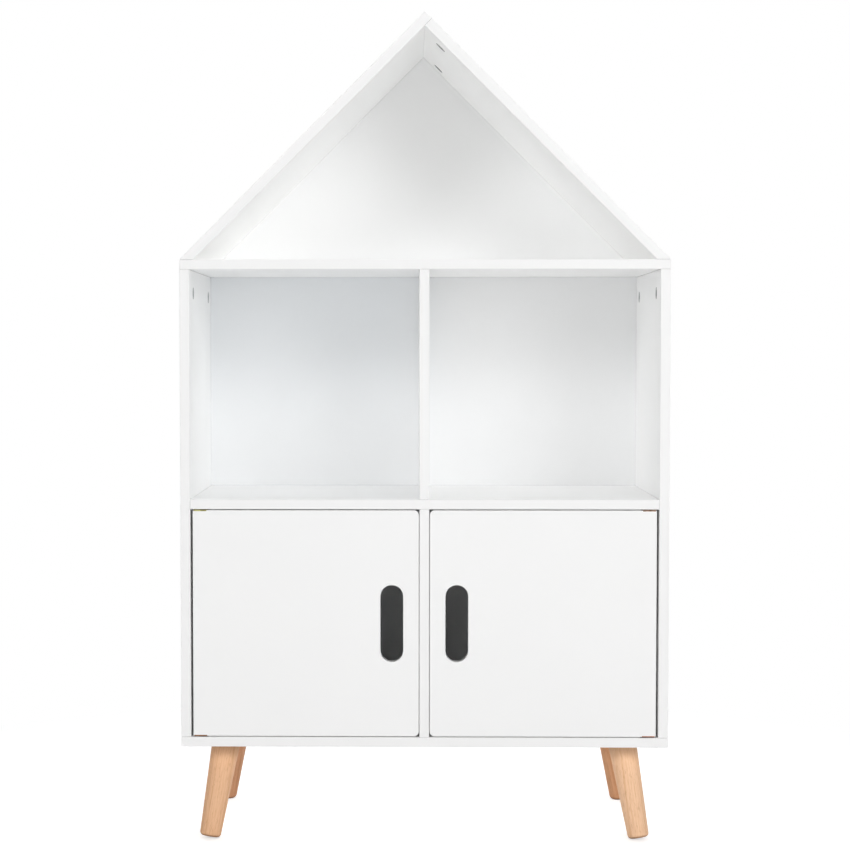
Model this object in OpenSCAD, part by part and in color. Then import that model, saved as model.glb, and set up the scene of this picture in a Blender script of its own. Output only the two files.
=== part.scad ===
// House shaped bookcase for a child's room.
// Two open compartments under a pitched roof, two inset doors below them, and four splayed round legs.
// X runs to the right, Y to the rear and Z up. The origin is on the floor under the middle of the case.

/* [Case] */
// Outside width over the two side panels
case_w = 600; // [520:1:760]
// Outside depth from the front edges to the rear edges
case_d = 300; // [260:1:380]
// Clear height of the open compartments above the shelf
upper_clear_h = 282; // [230:1:360]
// Clear height of the compartments behind the doors
lower_clear_h = 282; // [230:1:360]
// Slope of the two roof panels above level
roof_pitch = 45; // [41:1:49]

/* [Boards] */
// Thickness of the case and roof boards
board_t = 12; // [11:0.5:16]
// Bevel along every edge of a banded board
edge_ease = 0.4; // [0.2:0.1:0.8]
// Width of the blunt nose where a roof panel runs out on the deck
roof_nose = 1; // [0.5:0.1:2]

/* [Back panels] */
// Thickness of the two back panels
back_t = 3; // [2.5:0.1:4]
// Distance from the rear edges to the back panels
back_inset = 12.9; // [10:0.1:20]
// Depth of the grooves that hold the back panels
groove_depth = 4; // [3:0.1:4.5]
// Play between a back panel and each wall of its groove
groove_play = 0.1; // [0.05:0.05:0.2]
// Space left between a back panel's edge and the bottom of its groove
groove_end_play = 0.3; // [0.1:0.1:0.5]

/* [Doors] */
// Thickness of a door
door_t = 12; // [11:0.5:16]
// Gap between a door's hinged edge and the side panel
hinge_side_gap = 3; // [2.8:0.1:5]
// Gap between a door's free edge and the divider
free_side_gap = 0.7; // [0.5:0.1:2]
// Gap above and below a door
door_end_gap = 1.25; // [1:0.05:2]
// Corner radius on the free side of a door
free_corner_r = 6; // [2:0.5:10]
// Corner radius on the hinged side of a door
hinge_corner_r = 1.2; // [1:0.1:1.5]
// Width of the finger slot
slot_w = 28; // [22:1:36]
// Height of the finger slot over its round ends
slot_h = 95; // [70:1:130]
// Distance from the slot's centre line to the door's free edge
slot_inset = 33.3; // [28:0.1:60]

/* [Pivot hinges] */
// Distance from the pivot to the door's hinged edge
pivot_inset = 8; // [7:0.1:9]
// Diameter of a pivot pin
pin_d = 4; // [3.5:0.1:5]
// Running play all round a pin in its door leaf
pin_play = 0.05; // [0.02:0.01:0.08]
// Length of a pin below or above its plate
pin_reach = 7.2; // [5:0.1:9]
// Length of a hinge leaf or plate along the door
leaf_l = 18; // [15:0.5:22]
// Distance from the door's hinged edge to the start of a leaf
leaf_start = 1; // [0.8:0.1:2]
// Thickness of the leaf let into a door's edge
leaf_t = 1.2; // [1:0.1:1.6]
// Distance that a leaf stands behind the door's front
leaf_setback = 0.5; // [0.3:0.1:1]
// Distance that a case plate stands behind the front edges of the boards
plate_setback = 2.5; // [1:0.1:3]
// Depth of a door leaf, front to back
leaf_d = 10.5; // [9.5:0.1:11]
// Bevel on the two far corners of a leaf or plate
leaf_bevel = 2; // [1:0.1:3]
// Play between a door's edge and a case plate
plate_play = 0.3; // [0.2:0.05:0.5]
// Depth of a case plate, front to back
plate_d = 30; // [28:1:40]
// Distance from a leaf's far end to its screw
leaf_screw_inset = 4; // [3.5:0.1:4.5]
// Distance from a plate's rear end to its last screw
plate_screw_inset = 5; // [4:0.5:6]
// Distance between a plate's two screws
plate_screw_pitch = 9; // [8:0.5:10]

/* [Hinge and strike screws] */
// Diameter of the small brass screws
small_screw_d = 2.5; // [2:0.1:3]
// Head diameter of the small brass screws
small_head_d = 4; // [3.8:0.1:4.4]
// Length of the small brass screws
small_screw_l = 9; // [8:0.5:10]

/* [Door catches] */
// Width of a catch over its two ears
catch_w = 40; // [36:1:50]
// Width of each ear
catch_ear_w = 8; // [7:0.5:10]
// Thickness of each ear
catch_ear_t = 4; // [3:0.5:5]
// Depth of a catch, front to back
catch_d = 13; // [11:0.5:16]
// Height of a catch below the shelf
catch_h = 11; // [9:0.5:14]
// Distance from the divider to the middle of a catch
catch_inset = 34; // [32:1:60]
// Width of the magnet
magnet_w = 18; // [14:0.5:20]
// Height of the magnet
magnet_h = 6; // [5:0.5:7]
// Depth of the magnet
magnet_d = 6; // [4:0.5:8]
// Distance that the magnet stands proud of its housing
magnet_proud = 0.6; // [0.3:0.1:1]
// Play around the magnet in its pocket
magnet_play = 0.05; // [0.02:0.01:0.1]
// Length of a strike plate
strike_w = 26; // [20:1:30]
// Height of a strike plate
strike_h = 9; // [8:0.5:10]
// Thickness of a strike plate
strike_t = 1.2; // [1:0.1:1.6]
// Gap between a strike plate and the magnet when the door is shut
strike_gap = 0.2; // [0.1:0.05:0.4]
// Diameter of the catch screws
catch_screw_d = 3; // [2.5:0.1:3.5]
// Head diameter of the catch screws
catch_head_d = 5.6; // [5:0.1:6.4]
// Distance that the catch screws reach into the shelf
catch_screw_reach = 8; // [6:0.5:9]

/* [Cam locks] */
// Diameter of a cam
cam_d = 15; // [13:0.5:16]
// Distance from the end of a panel to the centre of its cam
cam_setback = 28; // [24:1:34]
// Distance from the bolt's axis to the inner end of a cam
cam_claw = 3.4; // [3.2:0.1:3.6]
// Distance from the front or rear edges to the cam locks
cam_inset = 50; // [40:1:70]
// Play around a cam or a cam bolt's thread in its bore
bore_play = 0.1; // [0.05:0.01:0.15]
// Diameter of a cam bolt's shank
bolt_shank_d = 6; // [5.5:0.1:6.4]
// Diameter of a cam bolt's neck
bolt_neck_d = 3.6; // [3:0.1:4]
// Diameter of a cam bolt's head
bolt_head_d = 6; // [5.6:0.1:6.2]
// Length of a cam bolt's head
bolt_head_l = 3; // [2.5:0.1:3.5]
// Length of a cam bolt's thread
bolt_thread_l = 8.5; // [7:0.1:9]
// Diameter of the bore for a cam bolt's shank
bolt_bore_d = 7; // [6.6:0.1:7.5]

/* [Dowels] */
// Diameter of the wooden dowels
dowel_d = 6; // [5:0.1:6.4]
// Length of a dowel in the face of a board
dowel_face_l = 8; // [6:0.5:9]
// Length of a dowel in the end of a board
dowel_end_l = 16; // [12:1:24]
// Distance from a cam lock to its dowel
dowel_pitch = 32; // [24:1:40]
// Play around a dowel
dowel_play = 0.05; // [0.02:0.01:0.1]
// Bevel on a dowel's ends
dowel_bevel = 0.8; // [0.5:0.1:1.2]

/* [Case screws] */
// Diameter of the screws that hold the shelf and the dividers
case_screw_d = 4.8; // [4:0.1:5]
// Head diameter of those screws
case_head_d = 9; // [8:0.1:9.6]
// Distance that those screws reach into the end of a board
case_screw_reach = 26; // [20:1:34]
// Distance from the front or rear edges to those screws
case_screw_inset = 50; // [40:1:70]
// Diameter of the screws in the roof panels' feet
foot_screw_d = 3.5; // [3:0.1:3.8]
// Head diameter of the screws in the roof panels' feet
foot_head_d = 7; // [6:0.1:7.4]
// Distance that those screws reach into a roof panel
foot_screw_reach = 9.5; // [8:0.5:10]
// Distance from a roof panel's inner toe to those screws
foot_screw_toe = 3; // [2.6:0.1:3.4]
// Distance from the front or rear edges to those screws
foot_screw_inset = 25; // [20:1:30]
// Play around the screws in their holes
screw_play = 0.05; // [0.02:0.01:0.1]

/* [Legs] */
// Height of the legs from the floor to the bottom panel
leg_h = 120; // [80:1:180]
// Diameter of a leg at the bottom panel
leg_top_d = 35.5; // [32:0.5:44]
// Diameter of a leg at its foot
leg_foot_d = 26.5; // [22:0.5:30]
// Radius of the rounded edge of a foot
leg_foot_round = 5; // [2:0.5:6]
// Lean of a leg from upright, towards its own corner
leg_lean = 13.2; // [8:0.1:16]
// Distance from the case's sides to the centre of a leg's top
leg_side_inset = 52; // [44:0.5:70]
// Distance from the case's front or rear to the centre of a leg's top
leg_end_inset = 46.5; // [44:0.5:70]
// Diameter of the bolt in the top of a leg
leg_bolt_d = 8; // [6:0.5:9]
// Length of that bolt in the leg
leg_bolt_reach = 30; // [20:1:40]
// Diameter of a tee nut's flange
tee_flange_d = 19; // [17:0.5:24]
// Thickness of a tee nut's flange
tee_flange_t = 1.2; // [1:0.1:1.6]
// Diameter of a tee nut's barrel
tee_barrel_d = 10.4; // [10.2:0.1:12]
// Length of a tee nut's barrel
tee_barrel_l = 9; // [7:0.5:10]

/* [Hidden] */

$fn = 48;
white_board = "#F3F3F2";
white_back = "#ECEDED";
natural_wood = "#E0B183";
dowel_wood = "#D8B88C";
zinc = "#B4B6B8";
brass = "#C79A4B";
white_plastic = "#EDEDEB";
ferrite = "#3C3B3A";
reach = 1;                   // how far a cut runs past the face that it opens
case_half = case_w / 2;
side_in = case_half - board_t;
front_y = -case_d / 2;
rear_y = case_d / 2;
bottom_z = leg_h;
floor_z = bottom_z + board_t;
shelf_z = floor_z + lower_clear_h;
shelf_top_z = shelf_z + board_t;
deck_z = shelf_top_z + upper_clear_h;
deck_top_z = deck_z + board_t;
apex_z = deck_top_z + case_half * tan(roof_pitch);
foot_w = board_t / sin(roof_pitch);                     // level width of a roof panel's foot
inner_apex_z = apex_z - board_t / cos(roof_pitch);
seam_x = foot_w / 2;                                    // where the seam meets the roof's outside
groove_y = rear_y - back_inset - back_t - groove_play;  // front wall of the back panels' grooves
groove_w = back_t + 2 * groove_play;
inner_d = groove_y - front_y;                           // depth of the shelf and the dividers
divider_half = board_t / 2;

cam_ys = [front_y + cam_inset, rear_y - cam_inset];
dowel_ys = [cam_ys[0] + dowel_pitch, cam_ys[1] - dowel_pitch];
case_screw_ys = [front_y + case_screw_inset, groove_y - case_screw_inset];
divider_dowel_ys = [case_screw_ys[0] + dowel_pitch, case_screw_ys[1] - dowel_pitch];
foot_screw_ys = [front_y + foot_screw_inset, rear_y - foot_screw_inset];
foot_screw_x = case_half - foot_w + foot_screw_toe;
side_mid = case_half - board_t / 2;

door_x0 = -side_in + hinge_side_gap;         // the left door; the right one is its mirror image
door_w = side_in - hinge_side_gap - free_side_gap - divider_half;
door_z0 = floor_z + door_end_gap;
door_z1 = shelf_z - door_end_gap;
door_h = door_z1 - door_z0;
pivot_x = door_x0 + pivot_inset;
pivot_y = front_y + door_t / 2;
plate_t = door_end_gap - plate_play;
leaf_x = door_x0 + leaf_start;
leaf_y = front_y + leaf_setback;
plate_y = front_y + plate_setback;
door_in_y = front_y + door_t;
catch_x = -divider_half - catch_inset;
magnet_y = door_in_y + strike_t + strike_gap;
catch_y = magnet_y + magnet_proud;
strike_z = shelf_z - catch_h / 2;
slot_x = door_x0 + door_w - slot_inset;
slot_z = (door_z0 + door_z1) / 2;

// ---- profiles and general pieces --------------------------------------------------------------

// A rectangle with its four corners cut at 45 degrees.
module eased_rect(w, h, e) {
    polygon([[e, 0], [w - e, 0], [w, e], [w, h - e], [w - e, h], [e, h], [0, h - e], [0, e]]);
}

// A board with a fine bevel on all twelve edges, its low corner at the origin.
module eased_board(size, e = edge_ease) {
    intersection() {
        linear_extrude(height = size[2]) eased_rect(size[0], size[1], e);
        translate([0, size[1], 0]) rotate([90, 0, 0])
            linear_extrude(height = size[1]) eased_rect(size[0], size[2], e);
        rotate([90, 0, 90]) linear_extrude(height = size[0]) eased_rect(size[1], size[2], e);
    }
}

// Copies of a piece at the given distances along Y.
module along_y(ys) {
    for (y = ys) translate([0, y, 0]) children();
}

// The piece as drawn for the left half, and its mirror image for the right half.
module both_sides() {
    children();
    mirror([1, 0, 0]) children();
}

// Outline of a countersunk screw: head up at height 0, point down. Grown by play, it is the hole's.
function screw_outline(d, head_d, len, play = 0, lift = 0) =
    let (r = d / 2 + play, head_r = head_d / 2 + play, cone = (head_d - d) / 2)
    [[0, lift], [head_r, lift], [head_r, 0], [r, -cone], [r, -len + d], [r / 3, -len], [0, -len]];

// A countersunk screw with a cross recess.
module screw(d, head_d, len) {
    slot = head_d * 0.55;
    slot_t = head_d * 0.11;
    slot_depth = (head_d - d) / 3;
    difference() {
        rotate_extrude() polygon(screw_outline(d, head_d, len));
        for (a = [0, 90]) rotate([0, 0, a])
            translate([-slot / 2, -slot_t / 2, -slot_depth]) cube([slot, slot_t, slot_depth + reach]);
    }
}

// The hole that a countersunk screw fills.
module screw_hole(d, head_d, len) {
    rotate_extrude() polygon(screw_outline(d, head_d, len + screw_play, screw_play, reach));
}

// A straight dowel with bevelled ends, from height -below to height above.
module dowel(below, above, play = 0) {
    r = dowel_d / 2 + play;
    b = dowel_bevel;
    rotate_extrude() polygon([
        [0, -below - play], [r - b, -below - play], [r, -below - play + b],
        [r, above + play - b], [r - b, above + play], [0, above + play]
    ]);
}

// ---- cam locks --------------------------------------------------------------------------------

cam_l = board_t / 2 + cam_claw;

// A cam: its face looks up at height 0 and its bolt comes in along +X. The claw lies round the
// bolt's neck, and the round mouth to one side lets the bolt's head in before the cam is turned.
module cam() {
    r = cam_d / 2;
    chamber_r = bolt_head_d / 2 + 1.6;
    chamber_off = 0.7;
    roof_t = board_t / 2 - bolt_head_d / 2 - 0.4;
    slot_h2 = bolt_neck_d / 2 + 0.4;
    mouth_d = bolt_head_d + 0.6;
    sweep = 100;
    cross = cam_d * 0.5;
    cross_t = 1.2;
    difference() {
        translate([0, 0, -cam_l]) cylinder(h = cam_l, r = r);
        translate([-chamber_off, 0, -cam_l - reach])
            cylinder(h = cam_l + reach - roof_t, r = chamber_r);
        translate([0, 0, -board_t / 2 - slot_h2]) linear_extrude(height = 2 * slot_h2)
            polygon(concat([[0, 0]], [for (a = [-sweep : 20 : 20]) cam_d * [cos(a), sin(a)]]));
        rotate([0, 0, -sweep]) translate([0, 0, -board_t / 2]) rotate([0, 90, 0])
            cylinder(h = cam_d, d = mouth_d);
        for (a = [45, 135]) rotate([0, 0, a])
            translate([-cross / 2, -cross_t / 2, -roof_t / 2]) cube([cross, cross_t, roof_t]);
    }
}

// A cam bolt along +X: threaded into a face at 0, its head in the middle of the cam.
module cam_bolt() {
    head_x0 = cam_setback - bolt_head_l / 2;
    head_x1 = cam_setback + bolt_head_l / 2;
    neck_x = cam_setback - cam_d / 2 - 0.5;
    round = 0.6;
    rotate([0, 90, 0]) rotate_extrude() polygon([
        [0, -bolt_thread_l], [bolt_shank_d / 2 - 1, -bolt_thread_l],
        [bolt_shank_d / 2, -bolt_thread_l + 1], [bolt_shank_d / 2, neck_x - 1],
        [bolt_neck_d / 2, neck_x], [bolt_neck_d / 2, head_x0 - round],
        [bolt_head_d / 2, head_x0], [bolt_head_d / 2, head_x1 - round],
        [bolt_head_d / 2 - round, head_x1], [0, head_x1]
    ]);
}

// The bores in the panel that holds the cam: its end is at X = 0 and its open face at height 0.
module cam_bores() {
    translate([cam_setback, 0, -cam_l - bore_play])
        cylinder(h = cam_l + bore_play + reach, d = cam_d + 2 * bore_play);
    translate([0, 0, -board_t / 2]) rotate([0, 90, 0]) cylinder(h = cam_setback, d = bolt_bore_d);
}

// The bore in the face that takes a cam bolt's thread, going in from X = 0.
module bolt_bore() {
    translate([-bolt_thread_l - bore_play, 0, -board_t / 2]) rotate([0, 90, 0])
        cylinder(h = bolt_thread_l + bore_play + reach, d = bolt_shank_d + 2 * bore_play);
}

// Puts a piece drawn for a cam lock at the top of the left side panel: +X runs down the panel
// from the deck, and up is the panel's inner face.
module at_side_top() {
    translate([-side_in, 0, deck_z]) rotate([0, 90, 0]) children();
}

// The same at the bottom, where +X runs up the panel from the bottom panel.
module at_side_bottom() {
    translate([-side_in, 0, floor_z]) mirror([0, 0, 1]) rotate([0, 90, 0]) children();
}

module at_side_ends() {
    at_side_top() children();
    at_side_bottom() children();
}

// The same at the apex: +X runs down the right roof panel from the seam, and up is its inner face.
module at_apex() {
    translate([0, 0, inner_apex_z]) rotate([0, roof_pitch, 0]) mirror([0, 0, 1]) children();
}

// A dowel beside a cam lock, along +X, in the middle of the board.
module lock_dowel(play = 0) {
    translate([0, 0, -board_t / 2]) rotate([0, 90, 0]) dowel(dowel_face_l, dowel_end_l, play);
}

// What the locks of one joint cut from the panel whose end is held.
module lock_end_cuts() {
    along_y(cam_ys) cam_bores();
    along_y(dowel_ys) lock_dowel(dowel_play);
}

// What they cut from the board whose face it meets.
module lock_face_cuts() {
    along_y(cam_ys) bolt_bore();
    along_y(dowel_ys) lock_dowel(dowel_play);
}

// ---- screws and dowels of the case ------------------------------------------------------------

case_screw_l = board_t + case_screw_reach;

// A screw or a hole at each place where the left side panel meets the shelf, heads outwards.
module at_shelf_screws() {
    translate([-case_half, 0, shelf_z + board_t / 2]) rotate([0, -90, 0])
        along_y(case_screw_ys) children();
}

// The same where the deck meets the upper divider and the bottom panel meets the lower one.
module at_divider_screws() {
    translate([0, 0, deck_top_z]) along_y(case_screw_ys) children();
    translate([0, 0, bottom_z]) mirror([0, 0, 1]) along_y(case_screw_ys) children();
}

// The same where the deck meets the foot of the left roof panel, heads down.
module at_foot_screws() {
    translate([-foot_screw_x, 0, deck_z]) mirror([0, 0, 1]) along_y(foot_screw_ys) children();
}

foot_screw_l = board_t + foot_screw_reach;

module foot_screw_holes() {
    both_sides() at_foot_screws() screw_hole(foot_screw_d, foot_head_d, foot_screw_l);
}

module divider_screw_holes() {
    at_divider_screws() screw_hole(case_screw_d, case_head_d, case_screw_l);
}

// Two dowels run from the lower divider through the shelf into the upper one.
module divider_dowels_at(play = 0) {
    translate([0, 0, shelf_z + board_t / 2]) along_y(divider_dowel_ys)
        dowel(dowel_end_l, dowel_end_l, play);
}

// ---- back panels and their grooves ------------------------------------------------------------

// The body's back panel, let into its four boards by bite and set at depth y.
module body_back(bite, y, t) {
    translate([-side_in - bite, y, floor_z - bite])
        cube([2 * (side_in + bite), t, upper_clear_h + lower_clear_h + board_t + 2 * bite]);
}

// The roof's three cornered back panel, let into the deck and the roof panels by bite.
module roof_back(bite, y, t) {
    top = inner_apex_z + bite / cos(roof_pitch);
    base = deck_top_z - bite;
    half = (top - base) / tan(roof_pitch);
    translate([0, y + t, 0]) rotate([90, 0, 0]) linear_extrude(height = t)
        polygon([[-half, base], [half, base], [0, top]]);
}

module body_groove() body_back(groove_depth, groove_y, groove_w);
module roof_groove() roof_back(groove_depth, groove_y, groove_w);

// ---- case boards ------------------------------------------------------------------------------

// The holes for the pivot plates' and catches' screws in the boards above and below the doors.
module plate_and_catch_holes() {
    both_sides() {
        at_plate_screws() screw_hole(small_screw_d, small_head_d, small_screw_l);
        at_catch_screws() screw_hole(catch_screw_d, catch_head_d, catch_screw_l);
    }
}

module bottom_panel() {
    color(white_board) difference() {
        translate([-case_half, front_y, bottom_z]) eased_board([case_w, case_d, board_t]);
        body_groove();
        both_sides() at_side_bottom() lock_face_cuts();
        divider_screw_holes();
        plate_and_catch_holes();
        at_legs() translate([0, 0, leg_h - reach])
            cylinder(h = board_t + 2 * reach, d = tee_barrel_d + 2 * bore_play);
    }
}

module side_panel() {
    color(white_board) difference() {
        translate([-case_half, front_y, floor_z])
            eased_board([board_t, case_d, deck_z - floor_z]);
        body_groove();
        at_side_ends() lock_end_cuts();
        at_shelf_screws() screw_hole(case_screw_d, case_head_d, case_screw_l);
    }
}

module left_side_panel() side_panel();
module right_side_panel() mirror([1, 0, 0]) side_panel();

module deck_panel() {
    color(white_board) difference() {
        translate([-case_half, front_y, deck_z]) eased_board([case_w, case_d, board_t]);
        body_groove();
        roof_groove();
        both_sides() at_side_top() lock_face_cuts();
        divider_screw_holes();
        foot_screw_holes();
    }
}

module middle_shelf() {
    color(white_board) difference() {
        translate([-side_in, front_y, shelf_z]) eased_board([2 * side_in, inner_d, board_t]);
        both_sides() at_shelf_screws() screw_hole(case_screw_d, case_head_d, case_screw_l);
        divider_dowels_at(dowel_play);
        plate_and_catch_holes();
    }
}

module divider(z, h) {
    color(white_board) difference() {
        translate([-divider_half, front_y, z]) eased_board([board_t, inner_d, h]);
        divider_screw_holes();
        divider_dowels_at(dowel_play);
    }
}

module upper_divider() divider(shelf_top_z, upper_clear_h);
module lower_divider() divider(floor_z, lower_clear_h);

// ---- roof -------------------------------------------------------------------------------------

// A board lying on the left slope, bevelled along its front and rear edges and overlong.
module left_slope_board() {
    run = case_w / cos(roof_pitch);
    translate([-case_half, 0, deck_top_z]) rotate([0, -roof_pitch, 0])
        translate([-run / 4, front_y, -board_t]) eased_board([run, case_d, board_t]);
}

// Front view of a roof panel. The first one runs to the apex, and the other stops at the seam.
module roof_outline(points) {
    translate([0, rear_y + reach, 0]) rotate([90, 0, 0])
        linear_extrude(height = case_d + 2 * reach) polygon(points);
}

seam_z = apex_z - seam_x * tan(roof_pitch);
nose_x = case_half - roof_nose;
nose_z = deck_top_z + roof_nose * tan(roof_pitch);

// What the back panel and the feet's screws take out of the roof panels.
module roof_cuts() {
    roof_groove();
    foot_screw_holes();
}

module left_roof_panel() {
    color(white_board) difference() {
        intersection() {
            left_slope_board();
            roof_outline([
                [-nose_x, deck_top_z], [-nose_x, nose_z], [0, apex_z], [seam_x, seam_z],
                [foot_w - case_half, deck_top_z]
            ]);
        }
        roof_cuts();
        at_apex() lock_face_cuts();
    }
}

module right_roof_panel() {
    color(white_board) difference() {
        intersection() {
            mirror([1, 0, 0]) left_slope_board();
            roof_outline([
                [nose_x, deck_top_z], [nose_x, nose_z], [seam_x, seam_z], [0, inner_apex_z],
                [case_half - foot_w, deck_top_z]
            ]);
        }
        roof_cuts();
        at_apex() lock_end_cuts();
    }
}

module body_back_panel() {
    color(white_back) body_back(groove_depth - groove_end_play, groove_y + groove_play, back_t);
}

module roof_back_panel() {
    color(white_back) roof_back(groove_depth - groove_end_play, groove_y + groove_play, back_t);
}

// ---- legs -------------------------------------------------------------------------------------

foot_r = leg_foot_d / 2;
foot_core = foot_r - leg_foot_round;

// Length of a leg along its own axis, so that the low side of its rounded foot is on the floor.
leg_l = leg_foot_round
    + (leg_h - leg_foot_round - foot_core * sin(leg_lean)) / cos(leg_lean);

// Half of the leg's section. The top runs on past the bottom panel, where it is sawn level.
module leg_outline() {
    taper_l = leg_l - leg_foot_round;
    spare = leg_top_d / 2;
    grow = (leg_top_d / 2 - foot_r) * spare / taper_l;
    difference() {
        polygon([
            [0, spare], [leg_top_d / 2 + grow, spare], [foot_r, -taper_l], [foot_r, -leg_l],
            [0, -leg_l]
        ]);
        difference() {
            translate([foot_core, -leg_l - reach])
                square([leg_foot_round + reach, leg_foot_round + reach]);
            translate([foot_core, -taper_l]) circle(r = leg_foot_round);
        }
    }
}

// Puts a piece on the centre of a leg's top, by the leg's side and end of the case.
module at_leg(side, end) {
    translate([side * (case_half - leg_side_inset), end * (case_d / 2 - leg_end_inset), 0])
        children();
}

module at_legs() {
    for (side = [-1, 1], end = [-1, 1]) at_leg(side, end) children();
}

module leg(side, end) {
    color(natural_wood) difference() {
        intersection() {
            at_leg(side, end) translate([0, 0, leg_h]) rotate([0, 0, atan2(end, side)])
                rotate([0, -leg_lean, 0]) rotate_extrude($fn = 96) leg_outline();
            translate([-case_half, front_y, -reach]) cube([case_w, case_d, leg_h + reach]);
        }
        at_leg(side, end) translate([0, 0, leg_h - leg_bolt_reach - bore_play])
            cylinder(h = leg_bolt_reach + bore_play + reach, d = leg_bolt_d + 2 * bore_play);
    }
}

module front_left_leg() leg(-1, -1);
module front_right_leg() leg(1, -1);
module rear_left_leg() leg(-1, 1);
module rear_right_leg() leg(1, 1);

// A hanger bolt from inside each leg up through its tee nut.
module leg_bolts() {
    bevel = 1;
    r = leg_bolt_d / 2;
    color(zinc) at_legs() translate([0, 0, leg_h]) rotate_extrude() polygon([
        [0, -leg_bolt_reach], [r - bevel, -leg_bolt_reach], [r, -leg_bolt_reach + 2 * bevel],
        [r, board_t - bevel], [r - bevel, board_t], [0, board_t]
    ]);
}

module leg_tee_nuts() {
    bore_r = leg_bolt_d / 2 + bore_play;
    color(zinc) at_legs() translate([0, 0, floor_z]) rotate_extrude() polygon([
        [bore_r, -tee_barrel_l], [tee_barrel_d / 2, -tee_barrel_l], [tee_barrel_d / 2, 0],
        [tee_flange_d / 2, 0], [tee_flange_d / 2, tee_flange_t], [bore_r, tee_flange_t]
    ]);
}

// ---- fittings of the case ---------------------------------------------------------------------

module side_cams() {
    color(zinc) both_sides() at_side_ends() along_y(cam_ys) translate([cam_setback, 0, 0])
        mirror([1, 0, 0]) cam();
}

module side_cam_bolts() {
    color(zinc) both_sides() at_side_ends() along_y(cam_ys) translate([0, 0, -board_t / 2])
        cam_bolt();
}

module side_dowels() {
    color(dowel_wood) both_sides() at_side_ends() along_y(dowel_ys) lock_dowel();
}

module roof_cams() {
    color(zinc) at_apex() along_y(cam_ys) translate([cam_setback, 0, 0]) mirror([1, 0, 0]) cam();
}

module roof_cam_bolts() {
    color(zinc) at_apex() along_y(cam_ys) translate([0, 0, -board_t / 2]) cam_bolt();
}

module roof_dowels() {
    color(dowel_wood) at_apex() along_y(dowel_ys) lock_dowel();
}

module shelf_screws() {
    color(zinc) both_sides() at_shelf_screws() screw(case_screw_d, case_head_d, case_screw_l);
}

module divider_screws() {
    color(zinc) at_divider_screws() screw(case_screw_d, case_head_d, case_screw_l);
}

module divider_dowels() {
    color(dowel_wood) divider_dowels_at();
}

module roof_foot_screws() {
    color(zinc) both_sides() at_foot_screws() screw(foot_screw_d, foot_head_d, foot_screw_l);
}

// ---- pivot hinges -----------------------------------------------------------------------------

// Outline of a leaf or plate of depth d from above, with its front at y, bevelled at the two
// corners away from the side.
module leaf_outline(y, d, play = 0) {
    b = leaf_bevel;
    translate([leaf_x, y]) polygon([
        [-play, -play], [leaf_l - b, -play], [leaf_l + play, b],
        [leaf_l + play, d - b], [leaf_l - b, d + play], [-play, d + play]
    ]);
}

// Puts a piece drawn with its case face at height 0 under the shelf, or on the bottom panel.
module at_top_pivot() translate([0, 0, shelf_z]) children();
module at_bottom_pivot() translate([0, 0, floor_z]) mirror([0, 0, 1]) children();

plate_screw_x = leaf_x + leaf_l / 2;
plate_screw_y = plate_y + plate_d - plate_screw_inset;
plate_screw_ys = [plate_screw_y - plate_screw_pitch, plate_screw_y];
leaf_screw_x = leaf_x + leaf_l - leaf_screw_inset;

// The two screws of a plate, heads down at the plate's lower face.
module at_plate_screws_below() {
    translate([plate_screw_x, 0, -plate_t]) mirror([0, 0, 1]) along_y(plate_screw_ys) children();
}

module at_plate_screws() {
    at_top_pivot() at_plate_screws_below() children();
    at_bottom_pivot() at_plate_screws_below() children();
}

module pivot_plate() {
    color(brass) difference() {
        translate([0, 0, -plate_t]) linear_extrude(height = plate_t)
            leaf_outline(plate_y, plate_d);
        translate([pivot_x, pivot_y, -plate_t - reach])
            cylinder(h = plate_t + 2 * reach, d = pin_d + 2 * pin_play);
        at_plate_screws_below() screw_hole(small_screw_d, small_head_d, small_screw_l);
    }
}

module left_top_pivot_plate() at_top_pivot() pivot_plate();
module left_bottom_pivot_plate() at_bottom_pivot() pivot_plate();
module right_top_pivot_plate() mirror([1, 0, 0]) at_top_pivot() pivot_plate();
module right_bottom_pivot_plate() mirror([1, 0, 0]) at_bottom_pivot() pivot_plate();

module pivot_pin() {
    r = pin_d / 2;
    bevel = 0.5;
    end = plate_t + pin_reach;
    translate([pivot_x, pivot_y, 0]) rotate_extrude() polygon([
        [0, 0], [r, 0], [r, -end + bevel], [r - bevel, -end], [0, -end]
    ]);
}

module pivot_pins() {
    color(brass) both_sides() {
        at_top_pivot() pivot_pin();
        at_bottom_pivot() pivot_pin();
    }
}

module pivot_plate_screws() {
    color(brass) both_sides() at_plate_screws()
        screw(small_screw_d, small_head_d, small_screw_l);
}

// The screw of a door leaf, head up at the door's top edge.
module at_leaf_screw() {
    translate([leaf_screw_x, pivot_y, -door_end_gap]) children();
}

module leaf_screw_hole() {
    at_leaf_screw() screw_hole(small_screw_d, small_head_d, small_screw_l);
}

module door_leaf() {
    color(brass) difference() {
        translate([0, 0, -door_end_gap - leaf_t])
            linear_extrude(height = leaf_t) leaf_outline(leaf_y, leaf_d);
        translate([pivot_x, pivot_y, -door_end_gap - leaf_t - reach])
            cylinder(h = leaf_t + 2 * reach, d = pin_d + 2 * pin_play);
        leaf_screw_hole();
    }
}

// What a pivot takes out of a door's end: the leaf's recess, open to the front, the room for the
// pin's end, and the leaf screw's hole.
module pivot_cuts() {
    pin_room = pin_d + 1;
    pin_end = plate_t + pin_reach + 1;
    play = screw_play;
    translate([0, 0, -door_end_gap - leaf_t]) linear_extrude(height = leaf_t + reach) {
        leaf_outline(leaf_y, leaf_d, play);
        translate([leaf_x - play, leaf_y - reach])
            square([leaf_l - leaf_bevel + play, leaf_d / 2]);
    }
    translate([pivot_x, pivot_y, -pin_end]) cylinder(h = pin_end, d = pin_room);
    leaf_screw_hole();
}

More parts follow.
